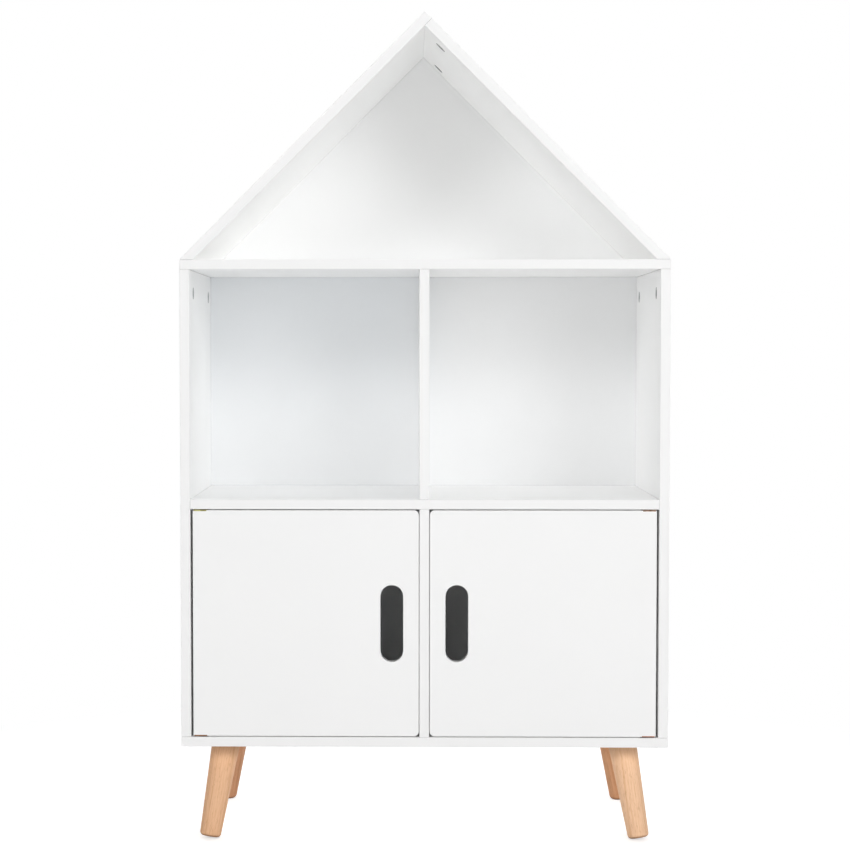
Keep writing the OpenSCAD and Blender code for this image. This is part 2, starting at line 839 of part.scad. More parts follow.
module left_top_door_leaf() at_top_pivot() door_leaf();
module left_bottom_door_leaf() at_bottom_pivot() door_leaf();
module right_top_door_leaf() mirror([1, 0, 0]) left_top_door_leaf();
module right_bottom_door_leaf() mirror([1, 0, 0]) left_bottom_door_leaf();

module left_leaf_screws() {
    color(brass) {
        at_top_pivot() at_leaf_screw() screw(small_screw_d, small_head_d, small_screw_l);
        at_bottom_pivot() at_leaf_screw() screw(small_screw_d, small_head_d, small_screw_l);
    }
}

module right_leaf_screws() mirror([1, 0, 0]) left_leaf_screws();

// ---- doors ------------------------------------------------------------------------------------

// A corner of a door: a disc of the door's thickness with bevelled rims, lying along +Y.
module door_corner(r) {
    e = edge_ease;
    rotate([-90, 0, 0]) rotate_extrude() polygon([
        [0, 0], [r - e, 0], [r, e], [r, door_t - e], [r - e, door_t], [0, door_t]
    ]);
}

// Half of a door from above: bevelled along its outer edge, open towards the door's middle.
module door_half(r) {
    e = edge_ease;
    half = door_w / 2;
    translate([0, 0, r]) linear_extrude(height = door_h - 2 * r)
        polygon([[e, 0], [half, 0], [half, door_t], [e, door_t], [0, door_t - e], [0, e]]);
    for (z = [r, door_h - r]) translate([r, 0, z]) door_corner(r);
    translate([r, 0, 0]) rotate([90, 0, 90]) linear_extrude(height = half - r)
        eased_rect(door_t, door_h, e);
}

// The finger slot: straight walls, round ends and a fine bevel at both faces.
module slot_cut() {
    e = edge_ease;
    r = slot_w / 2;
    half = slot_h / 2 - r;
    wall = [[r + e + reach, -reach], [r, e], [r, door_t - e], [r + e + reach, door_t + reach]];
    translate([slot_x, front_y, slot_z]) {
        for (end = [-half, half]) translate([0, 0, end]) rotate([-90, 0, 0]) rotate_extrude()
            polygon(concat([[0, -reach]], wall, [[0, door_t + reach]]));
        translate([0, 0, -half]) linear_extrude(height = 2 * half) for (s = [0, 1]) mirror([s, 0])
            polygon(concat([[0, -reach]], wall, [[0, door_t + reach]]));
    }
}

// The strike plate's place on the door: out of the door's inner face.
module at_strike() {
    translate([catch_x, door_in_y, strike_z]) rotate([-90, 0, 0]) children();
}

module strike_screw_hole() {
    at_strike() translate([0, 0, strike_t]) screw_hole(small_screw_d, small_head_d, small_screw_l);
}

module left_door() {
    color(white_board) difference() {
        translate([door_x0, front_y, door_z0]) {
            door_half(hinge_corner_r);
            translate([door_w, 0, 0]) mirror([1, 0, 0]) door_half(free_corner_r);
        }
        slot_cut();
        at_top_pivot() pivot_cuts();
        at_bottom_pivot() pivot_cuts();
        strike_screw_hole();
    }
}

module right_door() mirror([1, 0, 0]) left_door();

// ---- catches ----------------------------------------------------------------------------------

catch_screw_l = catch_ear_t + catch_screw_reach;

// The two screws of a catch, heads down at the ears' lower faces.
module at_catch_screws() {
    for (side = [-1, 1])
        translate([
            catch_x + side * (catch_w - catch_ear_w) / 2, catch_y + catch_d / 2,
            shelf_z - catch_ear_t
        ]) mirror([0, 0, 1]) children();
}

module catch_housing() {
    body_w = catch_w - 2 * catch_ear_w;
    pocket_w = magnet_w + 2 * magnet_play;
    pocket_h = magnet_h + 2 * magnet_play;
    color(white_plastic) difference() {
        union() {
            translate([catch_x - body_w / 2, catch_y, shelf_z - catch_h])
                eased_board([body_w, catch_d, catch_h]);
            translate([catch_x, catch_y, shelf_z - catch_ear_t]) linear_extrude(height = catch_ear_t)
                for (side = [-1, 1]) {
                    x = side * (catch_w - catch_ear_w) / 2;
                    translate([min(x, 0), 0]) square([abs(x), catch_d]);
                    translate([x - catch_ear_w / 2, catch_ear_w / 2])
                        square([catch_ear_w, catch_d - catch_ear_w]);
                    for (y = [catch_ear_w / 2, catch_d - catch_ear_w / 2])
                        translate([x, y]) circle(d = catch_ear_w);
                }
        }
        translate([catch_x - pocket_w / 2, catch_y - reach, strike_z - pocket_h / 2])
            cube([pocket_w, magnet_d - magnet_proud + magnet_play + reach, pocket_h]);
        at_catch_screws() screw_hole(catch_screw_d, catch_head_d, catch_screw_l);
    }
}

module left_catch_housing() catch_housing();
module right_catch_housing() mirror([1, 0, 0]) catch_housing();

module catch_magnets() {
    color(ferrite) both_sides()
        translate([catch_x - magnet_w / 2, magnet_y, strike_z - magnet_h / 2])
            eased_board([magnet_w, magnet_d, magnet_h]);
}

module catch_screws() {
    color(zinc) both_sides() at_catch_screws() screw(catch_screw_d, catch_head_d, catch_screw_l);
}

module left_strike_plate() {
    run = strike_w - strike_h;
    color(zinc) difference() {
        at_strike() linear_extrude(height = strike_t) {
            translate([-run / 2, -strike_h / 2]) square([run, strike_h]);
            for (side = [-1, 1]) translate([side * run / 2, 0]) circle(d = strike_h);
        }
        strike_screw_hole();
    }
}

module right_strike_plate() mirror([1, 0, 0]) left_strike_plate();

module left_strike_screw() {
    color(zinc) at_strike() translate([0, 0, strike_t])
        screw(small_screw_d, small_head_d, small_screw_l);
}

module right_strike_screw() mirror([1, 0, 0]) left_strike_screw();

// ---- the pieces -------------------------------------------------------------------------------

bottom_panel();
left_side_panel();
right_side_panel();
deck_panel();
middle_shelf();
upper_divider();
lower_divider();
left_roof_panel();
right_roof_panel();
body_back_panel();
roof_back_panel();
front_left_leg();
front_right_leg();
rear_left_leg();
rear_right_leg();
leg_bolts();
leg_tee_nuts();
side_cams();
side_cam_bolts();
side_dowels();
roof_cams();
roof_cam_bolts();
roof_dowels();
shelf_screws();
divider_screws();
divider_dowels();
roof_foot_screws();
left_top_pivot_plate();
left_bottom_pivot_plate();
right_top_pivot_plate();
right_bottom_pivot_plate();
pivot_pins();
pivot_plate_screws();
left_catch_housing();
right_catch_housing();
catch_magnets();
catch_screws();
left_door();
left_top_door_leaf();
left_bottom_door_leaf();
left_leaf_screws();
left_strike_plate();
left_strike_screw();
right_door();
right_top_door_leaf();
right_bottom_door_leaf();
right_leaf_screws();
right_strike_plate();
right_strike_screw();
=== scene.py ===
"""Finishes, light and camera for the house shaped bookcase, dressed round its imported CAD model."""

import logging
import math
from dataclasses import dataclass, field
from enum import Enum

import bpy
from mathutils import Matrix, Vector


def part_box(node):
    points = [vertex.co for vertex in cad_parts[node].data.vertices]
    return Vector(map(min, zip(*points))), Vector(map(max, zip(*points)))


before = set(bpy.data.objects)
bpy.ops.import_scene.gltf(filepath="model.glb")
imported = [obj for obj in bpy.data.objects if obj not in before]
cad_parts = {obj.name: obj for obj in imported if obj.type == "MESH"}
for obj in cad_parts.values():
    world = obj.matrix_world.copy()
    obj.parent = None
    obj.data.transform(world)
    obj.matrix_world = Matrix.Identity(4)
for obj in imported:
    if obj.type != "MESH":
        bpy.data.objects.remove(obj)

LOG = logging.getLogger("bookcase")

X_AXIS = Vector((1, 0, 0))
Y_AXIS = Vector((0, 1, 0))
Z_AXIS = Vector((0, 0, 1))
MM = 0.001
CENTRE = Vector((0, 0, 0.5))

# The compartments are white all round, so their light takes many bounces to die away.
LIGHT_BOUNCES = 24

# Most of a noise's values lie in this span.
NOISE_SPAN = (0.3, 0.7)

# The Mix node's colour sockets go by number, because those of its other types have the same names.
MIX_SHARE, MIX_FIRST, MIX_SECOND, MIX_RESULT = 0, 6, 7, 2

# The openness of a point clear of any joint and of one deep in it, where the painted shade is full,
# and the samples to tell it by.
JOINT_OPEN, JOINT_DEEP, JOINT_SAMPLES = 0.95, 0.25, 12

Socket = bpy.types.NodeSocket
Value = Socket | float | tuple
Colour = tuple[float, float, float]
Span = tuple[float, float]


class Hand(Enum):
    """The two halves of the case, by the sign of X."""

    LEFT = -1
    RIGHT = 1

    @property
    def prefix(self) -> str:
        """The word that starts the names of this half's nodes."""
        return self.name.lower()


# ---- node graphs --------------------------------------------------------------------------------


@dataclass
class Graph:
    """The node tree of a material or a world, with short calls for the nodes that they share."""

    owner: bpy.types.Material | bpy.types.World

    @classmethod
    def start(cls, owner: bpy.types.Material | bpy.types.World) -> "Graph":
        """Gives a material or a world an empty node tree.

        Args:
            owner: The material or the world.

        Returns:
            The graph of its tree.
        """
        owner.use_nodes = True
        owner.node_tree.nodes.clear()
        return cls(owner)

    @classmethod
    def new(cls, name: str) -> "Graph":
        """Starts an empty material.

        Args:
            name: The material's name.

        Returns:
            The graph of the new material.
        """
        return cls.start(bpy.data.materials.new(name))

    def node(
        self, kind: str, inputs: dict[str | int, Value] | None = None, **settings: object
    ) -> bpy.types.Node:
        """Adds a node.

        Args:
            kind: The node's type without the word ShaderNode.
            inputs: A socket to link or a value to set, by the input's name or number.
            settings: Other properties of the node.

        Returns:
            The new node.
        """
        made = self.owner.node_tree.nodes.new("ShaderNode" + kind)
        for key, value in settings.items():
            setattr(made, key, value)
        for key, value in (inputs or {}).items():
            if isinstance(value, Socket):
                self.owner.node_tree.links.new(value, made.inputs[key])
            elif isinstance(value, tuple) and len(value) == 3 and made.inputs[key].type == "RGBA":
                made.inputs[key].default_value = (*value, 1)
            else:
                made.inputs[key].default_value = value
        return made

    def maths(self, operation: str, *values: Value) -> Socket:
        """Works out one step of arithmetic.

        Args:
            operation: The Math node's operation.
            values: Its operands.

        Returns:
            The result.
        """
        return self.node("Math", dict(enumerate(values)), operation=operation).outputs[0]

    def dot(self, place: Socket, axis: Vector) -> Socket:
        """Measures a place along an axis.

        Args:
            place: A vector socket.
            axis: A unit vector.

        Returns:
            The distance along the axis.
        """
        inputs = {0: place, 1: tuple(axis)}
        return self.node("VectorMath", inputs, operation="DOT_PRODUCT").outputs["Value"]

    def slope(self, axis: Vector) -> Socket:
        """Measures how squarely the surface faces along an axis, either way.

        Args:
            axis: A unit vector.

        Returns:
            The cosine of the angle, 0 to 1.
        """
        normal = self.node("TexCoord").outputs["Normal"]
        return self.maths("ABSOLUTE", self.dot(normal, axis))

    def place(self, origin: Vector | None = None) -> Socket:
        """The point being shaded, in the object's own coordinates.

        Args:
            origin: Where to measure from, if not from the frame's origin.

        Returns:
            A vector socket.
        """
        here = self.node("TexCoord").outputs["Object"]
        if origin is None:
            return here
        inputs = {0: here, 1: tuple(origin)}
        return self.node("VectorMath", inputs, operation="SUBTRACT").outputs[0]

    def noise(self, place: Socket, scale: float, detail: float = 2.0, rough: float = 0.5) -> Socket:
        """Adds a noise texture.

        Args:
            place: Where to read it.
            scale: Features a metre.
            detail: Octaves above the first.
            rough: Strength of the finer octaves.

        Returns:
            The noise, about 0 to 1.
        """
        inputs = {"Vector": place, "Scale": scale, "Detail": detail, "Roughness": rough}
        return self.node("TexNoise", inputs).outputs["Fac"]

    def remap(
        self, value: Socket, low: float, high: float, to_low: float, to_high: float
    ) -> Socket:
        """Maps one range smoothly on another and keeps to its ends.

        Args:
            value: What to map.
            low: The value that gives to_low.
            high: The value that gives to_high.
            to_low: The result at low.
            to_high: The result at high.

        Returns:
            The mapped value.
        """
        inputs = {
            "Value": value,
            "From Min": low,
            "From Max": high,
            "To Min": to_low,
            "To Max": to_high,
        }
        return self.node("MapRange", inputs, interpolation_type="SMOOTHSTEP").outputs["Result"]

    def mix(self, share: Value, first: Value, second: Value, how: str = "MIX") -> Socket:
        """Mixes two colours.

        Args:
            share: How much of the second, 0 to 1.
            first: The colour at 0.
            second: The colour at 1.
            how: The blend type.

        Returns:
            The mixed colour.
        """
        inputs = {MIX_SHARE: share, MIX_FIRST: first, MIX_SECOND: second}
        return self.node("Mix", inputs, data_type="RGBA", blend_type=how).outputs[MIX_RESULT]

    def bump(self, height: Socket, distance: float) -> Socket:
        """Turns a height into a bumped normal.

        Args:
            height: The height, 0 to 1.
            distance: What a height of 1 stands for, in metres.

        Returns:
            The normal.
        """
        inputs = {"Strength": 1.0, "Distance": distance, "Height": height}
        return self.node("Bump", inputs).outputs["Normal"]

    def joint(self, colour: Socket, line: Colour, reach: float, share: Value) -> Socket:
        """Paints shade where another surface is very near, from ambient occlusion: a dark line of
        painted shade along a joint and in an inside corner.

        Args:
            colour: The colour in the open.
            line: The colour deep in the joint.
            reach: How far the line reaches, in metres.
            share: How much of the line to keep.

        Returns:
            The colour with its joints.
        """
        near = self.node("AmbientOcclusion", {"Distance": reach}, samples=JOINT_SAMPLES)
        depth = self.remap(near.outputs["AO"], JOINT_DEEP, JOINT_OPEN, 1.0, 0.0)
        return self.mix(self.maths("MULTIPLY", depth, share), colour, line)

    def shown(self) -> Socket:
        """Tells the rays that show a surface from those that only carry its light.

        Returns:
            1 for what the camera sees, also mirrored or through glass, and 0 for the rest.
        """
        path = self.node("LightPath").outputs
        straight = self.maths("MAXIMUM", path["Is Camera Ray"], path["Is Glossy Ray"])
        return self.maths("MAXIMUM", straight, path["Is Transmission Ray"])

    def finish(self, **inputs: Value) -> bpy.types.Material:
        """Ends the graph in a Principled shader.

        Args:
            inputs: The shader's inputs, with _ for each blank in a name.

        Returns:
            The finished material.
        """
        named = {key.replace("_", " "): value for key, value in inputs.items()}
        shader = self.node("BsdfPrincipled", named)
        self.node("OutputMaterial", {"Surface": shader.outputs[0]})
        return self.owner


# ---- finishes -----------------------------------------------------------------------------------
# A field that ends in scale holds a noise's features a metre, one that ends in span the part of a
# value's range that counts, and one that ends in share how much of a tint or a mark is kept.


def around(middle: float, swing: float) -> Span:
    """The span that reaches equally far to both sides of a middle."""
    return middle - swing, middle + swing


@dataclass(frozen=True)
class BoardAxes:
    """Where a board lies: its middle, the axes along its two long sides, and half of its sizes."""

    middle: Vector
    along: Vector
    across: Vector
    half_along: float
    half_across: float

    @property
    def through(self) -> Vector:
        """The axis through the board's thickness."""
        return self.along.cross(self.across)

    @classmethod
    def of_node(cls, name: str) -> "BoardAxes":
        """Reads the axes of a board that lies square to the frame.

        Args:
            name: The CAD node's name.

        Returns:
            The board's axes.
        """
        low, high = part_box(name)
        half = (high - low) / 2
        axes = sorted(zip(half, (X_AXIS, Y_AXIS, Z_AXIS)), key=lambda pair: pair[0])
        (_, _), (half_across, across), (half_along, along) = axes
        return cls((low + high) / 2, along, across, half_along, half_across)


@dataclass(frozen=True)
class MelamineFinish:
    """White satin melamine with a banded edge.

    Its face has a fine pebble, slow changes of tone and gloss, and a hairline where the band ends.
    """

    # Painted light and shade: the faces are whiter than the board would be, which stands in for the
    # bright inside, and the banded edges greyer, as shade on the brightly lit fronts.
    white: Colour = (0.987, 0.9865, 0.9835)
    shade: Colour = (0.976, 0.9765, 0.974)
    shaded_edging: Colour = (0.890, 0.889, 0.887)
    hairline: Colour = (0.78, 0.78, 0.77)
    joint: Colour = (0.11, 0.106, 0.102)
    joint_reach: float = 0.5 * MM
    face_shade_share: float = 0.3
    edge_shade_share: float = 1.0
    roughness: float = 0.34
    slant_roughness: float = 0.30
    slant_span: Span = (0.7, 0.97)
    band_gloss: float = 0.015
    gloss_swing: float = 0.004
    gloss_scale: float = 28.0
    tone_scale: float = 5.0
    fleck_scale: float = 420.0
    fleck_span: Span = (0.62, 0.75)
    fleck_share: float = 0.25
    pebble_scale: float = 1300.0
    pebble_depth: float = 0.005 * MM
    band: float = 0.9 * MM
    hair: float = 0.12 * MM
    hair_share: float = 0.8
    face_slope: float = 0.9

    def hair_mark(self, graph: Graph, axes: BoardAxes) -> Socket:
        """Draws the hairline along the outline of a face, one band's thickness in.

        Args:
            graph: The material's graph.
            axes: Where the board lies.

        Returns:
            The share of the hairline's colour.
        """
        here = graph.place(axes.middle)
        insets = []
        for axis, half in ((axes.along, axes.half_along), (axes.across, axes.half_across)):
            off = graph.maths("ABSOLUTE", graph.dot(here, axis))
            insets.append(graph.maths("SUBTRACT", half, off))
        inset = graph.maths("MINIMUM", *insets)
        off_line = graph.maths("ABSOLUTE", graph.maths("SUBTRACT", inset, self.band))
        return graph.remap(off_line, self.hair / 3, self.hair, self.hair_share, 0.0)

    def gloss(self, graph: Graph, here: Socket, face: Socket) -> Socket:
        """Works out the roughness: the band is glossier, and so is all at a low angle.

        Args:
            graph: The material's graph.
            here: The point being shaded.
            face: 1 on the board's faces and 0 on its edges.

        Returns:
            The roughness.
        """
        cloud = graph.noise(here, self.gloss_scale, detail=3.0)
        cloud = graph.remap(cloud, *NOISE_SPAN, *around(0.0, self.gloss_swing))
        banded = graph.maths("MULTIPLY", graph.maths("SUBTRACT", 1.0, face), -self.band_gloss)
        slant = graph.node("LayerWeight", {"Blend": 0.5}).outputs["Facing"]
        slant = graph.remap(slant, *self.slant_span, self.roughness, self.slant_roughness)
        return graph.maths("ADD", graph.maths("ADD", cloud, banded), slant)

    def material(self, name: str, axes: BoardAxes) -> bpy.types.Material:
        """Builds the finish for one board.

        Args:
            name: The material's name.
            axes: Where the board lies.

        Returns:
            The material.
        """
        graph = Graph.new(name)
        here = graph.place()
        tone = graph.noise(here, self.tone_scale, detail=3.0)
        colour = graph.mix(graph.remap(tone, *NOISE_SPAN, 0.0, 1.0), self.white, self.shade)
        fleck = graph.noise(here, self.fleck_scale, rough=0.6)
        fleck = graph.remap(fleck, *self.fleck_span, 0.0, self.fleck_share)
        colour = graph.mix(fleck, colour, self.shade)
        face = graph.maths("GREATER_THAN", graph.slope(axes.through), self.face_slope)
        # The edges take the greyer band colour, painted shade.
        colour = graph.mix(face, self.shaded_edging, colour)
        line = graph.maths("MULTIPLY", self.hair_mark(graph, axes), face)
        colour = graph.mix(line, colour, self.hairline)
        # Painted shade along joints and in inside corners: full on the banded edges, fainter on the
        # faces.
        kept = graph.remap(face, 0.0, 1.0, self.edge_shade_share, self.face_shade_share)
        colour = graph.joint(colour, self.joint, self.joint_reach, kept)
        pebble = graph.noise(here, self.pebble_scale, detail=3.0, rough=0.55)
        return graph.finish(
            Base_Color=colour,
            Roughness=self.gloss(graph, here, face),
            Normal=graph.bump(pebble, self.pebble_depth),
        )


@dataclass(frozen=True)
class BackFinish:
    """Thin white lacquered fibreboard: matt, with short lying fibres just showing through.

    The left half of a panel is painted cooler than the right one, most of all high up: painted
    light, the tint of a cooler light there.
    """

    white: Colour = (0.894, 0.899, 0.904)
    shade: Colour = (0.880, 0.886, 0.891)
    cool_light: Colour = (0.967, 0.983, 0.998)
    cool_light_spread: float = 80 * MM
    cool_light_low: float = 0.45
    cool_light_high: float = 0.66
    cool_light_least: float = 0.25
    joint: Colour = (0.30, 0.30, 0.30)
    joint_reach: float = 0.5 * MM
    joint_share: float = 0.4
    roughness: float = 0.6
    gloss_swing: float = 0.04
    gloss_scale: float = 40.0
    specular: float = 0.3
    cloud_scale: float = 9.0
    fibre_scale: float = 260.0
    fibre_flat: float = 4.0
    fibre_span: Span = (0.5, 0.7)
    fibre_share: float = 0.35
    fibre_depth: float = 0.01 * MM

    def cool_light_mark(self, graph: Graph, here: Socket) -> Socket:
        """Works out where the panel takes the cool tint of painted light.

        Args:
            graph: The material's graph.
            here: The point being shaded.

        Returns:
            The share of the cool tint.
        """
        side = graph.dot(here, X_AXIS)
        side = graph.remap(side, -self.cool_light_spread, self.cool_light_spread, 1.0, 0.0)
        rise = graph.dot(here, Z_AXIS)
        rise = graph.remap(rise, self.cool_light_low, self.cool_light_high, self.cool_light_least, 1.0)
        return graph.maths("MULTIPLY", side, rise)

    def material(self, name: str) -> bpy.types.Material:
        """Builds the finish.

        Args:
            name: The material's name.

        Returns:
            The material.
        """
        graph = Graph.new(name)
        here = graph.place()
        cloud = graph.noise(here, self.cloud_scale, detail=4.0, rough=0.6)
        colour = graph.mix(graph.remap(cloud, *NOISE_SPAN, 0.0, 1.0), self.white, self.shade)
        flat = graph.node("Mapping", {"Vector": here, "Scale": (1.0, 1.0, self.fibre_flat)})
        fibre = graph.noise(flat.outputs[0], self.fibre_scale, detail=4.0, rough=0.65)
        mark = graph.remap(fibre, *self.fibre_span, 0.0, self.fibre_share)
        colour = graph.mix(mark, colour, self.shade)
        # Painted light: a cool tint on the left half, strongest high up.
        colour = graph.mix(self.cool_light_mark(graph, here), colour, self.cool_light, "MULTIPLY")
        # Painted shade along the grooves and inside corners.
        colour = graph.joint(colour, self.joint, self.joint_reach, self.joint_share)
        gloss = around(self.roughness, self.gloss_swing)
        return graph.finish(
            Base_Color=colour,
            Roughness=graph.remap(graph.noise(here, self.gloss_scale), *NOISE_SPAN, *gloss),
            Normal=graph.bump(fibre, self.fibre_depth),
            Specular_IOR_Level=self.specular,
        )


@dataclass(frozen=True)
class Blank:
    """How a turned piece was cut: which way the pith lies, and a tone that shifts the wood's
    colours.
    """

    turn: float
    tone: Colour = (1.0, 1.0, 1.0)

    def toned(self, colour: Colour) -> Colour:
        """Shifts one of the wood's colours by the blank's tone."""
        return tuple(min(part * share, 1.0) for part, share in zip(colour, self.tone))


@dataclass(frozen=True)
class Grain:
    """A point in a turned piece, measured from its axis.

    It is u towards the pith, v square to that and w along the grain.
    """

    graph: Graph
    u: Socket
    v: Socket
    w: Socket

    def drawn_out(self, share: float) -> Socket:
        """The place for a noise that is drawn out along the grain, by 1 over the share."""
        inputs = {0: self.u, 1: self.v, 2: self.graph.maths("MULTIPLY", self.w, share)}
        return self.graph.node("CombineXYZ", inputs).outputs[0]


@dataclass(frozen=True)
class TurnedWoodFinish:
    """Pale wood turned along its grain, under a matt clear lacquer.

    The rings lie round a pith beside the piece, so they run as near straight lines down its side
    and as arches where the taper cuts across them. Each ring is dark or faint by itself.
    """

    early: Colour = (0.86, 0.55, 0.345)
    late: Colour = (0.70, 0.385, 0.20)
    pore: Colour = (0.50, 0.25, 0.12)
    # Painted shade: the end colour darkens the ends, as end grain and, at the foot's rim, as shade;
    # the joint colour darkens the leg below its shoulder and near other surfaces, the case above and
    # the floor below.
    end: Colour = (0.34, 0.18, 0.09)
    joint: Colour = (0.30, 0.155, 0.08)
    joint_reach: float = 6 * MM
    joint_share: float = 0.6
    shoulder_shade: float = 24 * MM
    shoulder_shade_share: float = 0.5
    end_span: Span = (0.3, 0.9)
    end_share: float = 0.85
    ring_pitch: float = 2.9 * MM
    pith_off: float = 62 * MM
    wander: float = 2.6 * MM
    wander_scale: float = 30.0
    wander_draw: float = 0.22
    ring_depth: Span = (0.15, 1.0)
    ring_rise: Span = (0.25, 0.85)
    ring_fall: Span = (0.9, 1.0)
    fine_draw: float = 0.03
    streak_scale: float = 300.0
    streak_span: Span = (0.25, 0.75)
    streak_share: Span = (0.3, 0.8)
    fibre_scale: float = 1300.0
    fibre_span: Span = (0.35, 0.7)
    fibre_share: float = 0.42
    fibre_depth: float = 0.012 * MM
    pore_scale: float = 1000.0
    pore_draw: float = 0.12
    pore_span: Span = (0.58, 0.72)
    pore_share: float = 0.5
    pore_dent: float = 0.8
    patch_scale: float = 14.0
    patch_share: float = 0.2
    roughness: float = 0.55
    gloss_swing: Span = (-0.05, 0.06)
    specular: float = 0.12

    def rings(self, grain: Grain) -> Socket:
        """Works out the late wood's share.

        Args:
            grain: Where the point lies in the piece.

        Returns:
            The share, 0 between the rings.
        """
        graph = grain.graph
        bend = graph.noise(grain.drawn_out(self.wander_draw), self.wander_scale)
        bend = graph.maths("SUBTRACT", bend, 0.5)
        across = graph.maths("POWER", graph.maths("ADD", grain.u, self.pith_off), 2.0)
        radius = graph.maths("ADD", across, graph.maths("POWER", grain.v, 2.0))
        radius = graph.maths("SQRT", radius)
        radius = graph.maths("ADD", radius, graph.maths("MULTIPLY", bend, 2 * self.wander))
        count = graph.maths("DIVIDE", radius, self.ring_pitch)
        year = {"W": graph.maths("FLOOR", count)}
        chance = graph.node("TexWhiteNoise", year, noise_dimensions="1D").outputs["Value"]
        depth = graph.remap(chance, 0.0, 1.0, *self.ring_depth)
        phase = graph.maths("FRACT", count)
        rise = graph.remap(phase, *self.ring_rise, 0.0, 1.0)
        fall = graph.remap(phase, *self.ring_fall, 1.0, 0.0)
        return graph.maths("MULTIPLY", graph.maths("MULTIPLY", rise, fall), depth)

    def material(
        self, name: str, origin: Vector, axis: Vector, blank: Blank
    ) -> bpy.types.Material:
        """Builds the finish for one turned piece.

        Args:
            name: The material's name.
            origin: A point on the piece's axis.
            axis: The direction of the grain.
            blank: How the piece was cut.

        Returns:
            The material.
        """
        graph = Graph.new(name)
        here = graph.place(origin)
        side = Matrix.Rotation(blank.turn, 3, axis) @ axis.orthogonal().normalized()
        grain = Grain(graph, *(graph.dot(here, line) for line in (side, axis.cross(side), axis)))
        early, late = blank.toned(self.early), blank.toned(self.late)

        fine = grain.drawn_out(self.fine_draw)
        fibre = graph.noise(fine, self.fibre_scale, detail=3.0, rough=0.6)
        streak = graph.noise(fine, self.streak_scale)
        broken = graph.remap(streak, *self.streak_span, *self.streak_share)
        share = graph.maths("MULTIPLY", self.rings(grain), broken)
        fibres = graph.remap(fibre, *self.fibre_span, 0.0, self.fibre_share)
        colour = graph.mix(graph.maths("ADD", share, fibres), early, late)

        pore = graph.noise(grain.drawn_out(self.pore_draw), self.pore_scale)
        pore = graph.remap(pore, *self.pore_span, 0.0, self.pore_share)
        colour = graph.mix(pore, colour, blank.toned(self.pore))
        patch = graph.noise(here, self.patch_scale)
        patch = graph.remap(patch, *NOISE_SPAN, 0.0, self.patch_share)
        colour = graph.mix(patch, colour, late)

        # Darker ends: end grain, with painted shade at the foot's rim. Then painted shade below the
        # shoulder and near other surfaces.
        ends = graph.remap(graph.slope(axis), *self.end_span, 0.0, self.end_share)
        colour = graph.mix(ends, colour, blank.toned(self.end))
        shaded = graph.remap(grain.w, 0.0, self.shoulder_shade, self.shoulder_shade_share, 0.0)
        colour = graph.mix(shaded, colour, blank.toned(self.joint))
        colour = graph.joint(colour, self.joint, self.joint_reach, self.joint_share)

        height = graph.maths("SUBTRACT", fibre, graph.maths("MULTIPLY", pore, self.pore_dent))
        gloss = (self.roughness + swing for swing in self.gloss_swing)
        return graph.finish(
            Base_Color=colour,
            Roughness=graph.remap(streak, *NOISE_SPAN, *gloss),
            Normal=graph.bump(height, self.fibre_depth),
            Specular_IOR_Level=self.specular,
        )


@dataclass(frozen=True)
class MetalFinish:
    """A bright metal with soft dull clouds, specks and fine rolling or casting marks.

    Where it is screwed to a board, a dark line of painted shadow can run along the joint.
    """

    colour: Colour
    dull: Colour
    roughness: float = 0.3
    gloss_swing: Span = (-0.06, 0.14)
    grain_scale: float = 900.0
    grain_depth: float = 0.01 * MM
    cloud_scale: float = 160.0
    cloud_span: Span = (0.35, 0.7)
    speck_scale: float = 1900.0
    speck_span: Span = (0.6, 0.72)
    speck_share: float = 0.4
    tarnish: Colour = (0.02, 0.016, 0.011)
    creep: Span = (0.5 * MM, 0.8 * MM)
    creep_share: float = 0.9

    def material(self, name: str, board_z: float | None = None) -> bpy.types.Material:
        """Builds the finish.

        Args:
            name: The material's name.
            board_z: The height of the board's face that the piece lies on, if a painted shadow line
                runs along it.

        Returns:
            The material.
        """
        graph = Graph.new(name)
        here = graph.place()
        cloud = graph.noise(here, self.cloud_scale, detail=4.0, rough=0.6)
        cloud = graph.remap(cloud, *self.cloud_span, 0.0, 1.0)
        colour = graph.mix(cloud, self.colour, self.dull)
        speck = graph.noise(here, self.speck_scale, rough=0.6)
        speck = graph.remap(speck, *self.speck_span, 0.0, self.speck_share)
        colour = graph.mix(speck, colour, self.dull)
        # Painted shadow: a dark line along the board's face, where the gap beside the plate lies in
        # shade.
        if board_z is not None:
            off = graph.maths("SUBTRACT", graph.dot(here, Z_AXIS), board_z)
            line = graph.maths("ABSOLUTE", off)
            line = graph.remap(line, *self.creep, self.creep_share, 0.0)
            colour = graph.mix(line, colour, self.tarnish)
        gloss = (self.roughness + swing for swing in self.gloss_swing)
        marks = graph.noise(here, self.grain_scale, detail=3.0, rough=0.6)
        return graph.finish(
            Base_Color=colour,
            Metallic=1.0,
            Roughness=graph.remap(cloud, 0.0, 1.0, *gloss),
            Normal=graph.bump(marks, self.grain_depth),
        )


@dataclass(frozen=True)
class MouldedFinish:
    """A moulded or sintered body: fine sparked grain and slight changes of tone."""

    colour: Colour
    shade: Colour
    roughness: float
    gloss_swing: float = 0.04
    cloud_scale: float = 60.0
    grain_scale: float = 1600.0
    grain_depth: float = 0.02 * MM

    def material(self, name: str) -> bpy.types.Material:
        """Builds the finish.

        Args:
            name: The material's name.

        Returns:
            The material.
        """
        graph = Graph.new(name)
        here = graph.place()
        grain = graph.noise(here, self.grain_scale, rough=0.6)
        cloud = graph.noise(here, self.cloud_scale, detail=3.0)
        cloud = graph.remap(cloud, *NOISE_SPAN, 0.0, 1.0)
        gloss = around(self.roughness, self.gloss_swing)
        return graph.finish(
            Base_Color=graph.mix(cloud, self.colour, self.shade),
            Roughness=graph.remap(grain, *NOISE_SPAN, *gloss),
            Normal=graph.bump(grain, self.grain_depth),
        )


